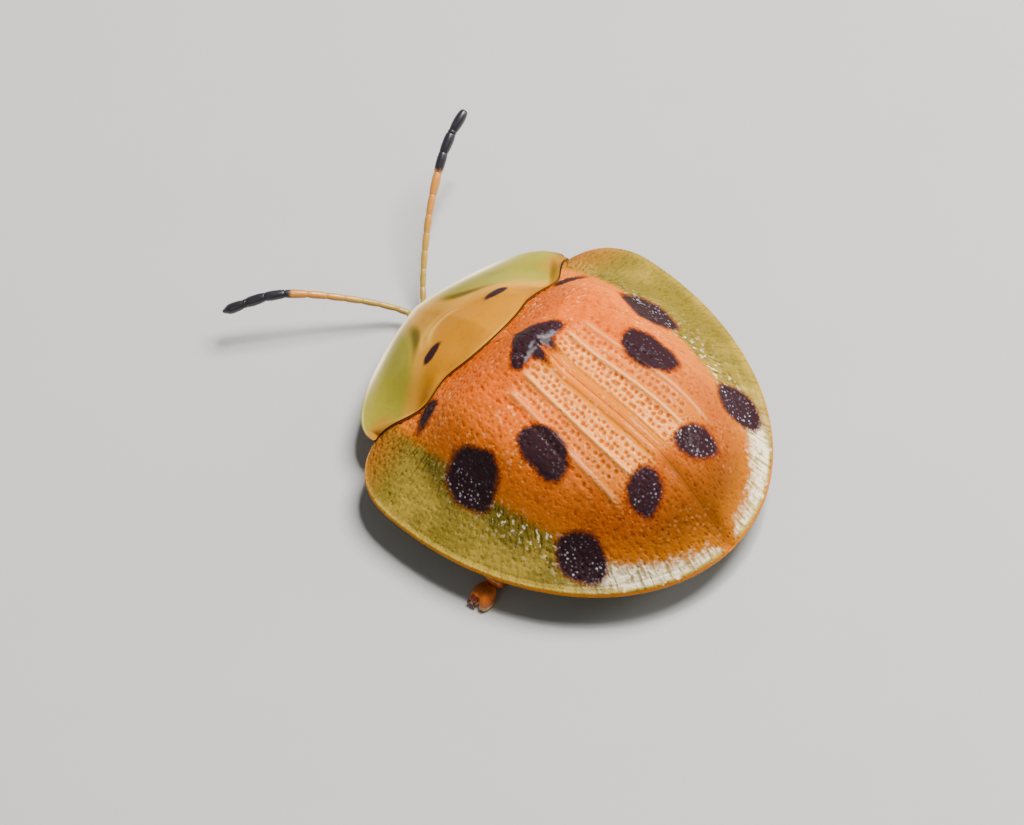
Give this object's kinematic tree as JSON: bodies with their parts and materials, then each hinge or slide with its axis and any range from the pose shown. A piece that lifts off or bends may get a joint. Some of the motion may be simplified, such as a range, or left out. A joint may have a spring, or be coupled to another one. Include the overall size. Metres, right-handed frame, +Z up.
{
  "type": "tortoise beetle",
  "caption": "Domed tortoise beetle standing on its six legs, with a wide flat rim round its shield and spotted wing cases and two beaded feelers.",
  "frame": {"origin": "bottom centre of the whole beetle's box, at the level of the soles of its feet", "axes": "-Y towards the head, +X towards the beetle's left side, +Z up"},
  "size_m": [0.008, 0.012, 0.0035],
  "materials": {
    "shell": "glossy translucent chitin, orange-brown disc with black spots and olive rim",
    "shield": "smooth glossy chitin, golden ochre with a translucent yellow-green rim",
    "underside": "satin dark brown chitin",
    "eye": "glossy black facets",
    "limb": "satin orange-brown chitin, black at the ends of the feelers"
  },
  "bodies": {
    "root": {"pronotum": "shield", "elytron_left": "shell", "elytron_right": "shell", "scutellum": "shell", "prothorax": "underside", "hind_thorax": "underside", "abdomen": "underside", "head": "underside", "eye_left": "eye", "eye_right": "eye", "antenna_left": "limb", "antenna_right": "limb", "leg_front_left": "limb", "leg_front_right": "limb", "leg_middle_left": "limb", "leg_middle_right": "limb", "leg_hind_left": "limb", "leg_hind_right": "limb"}
  },
  "joints": []
}
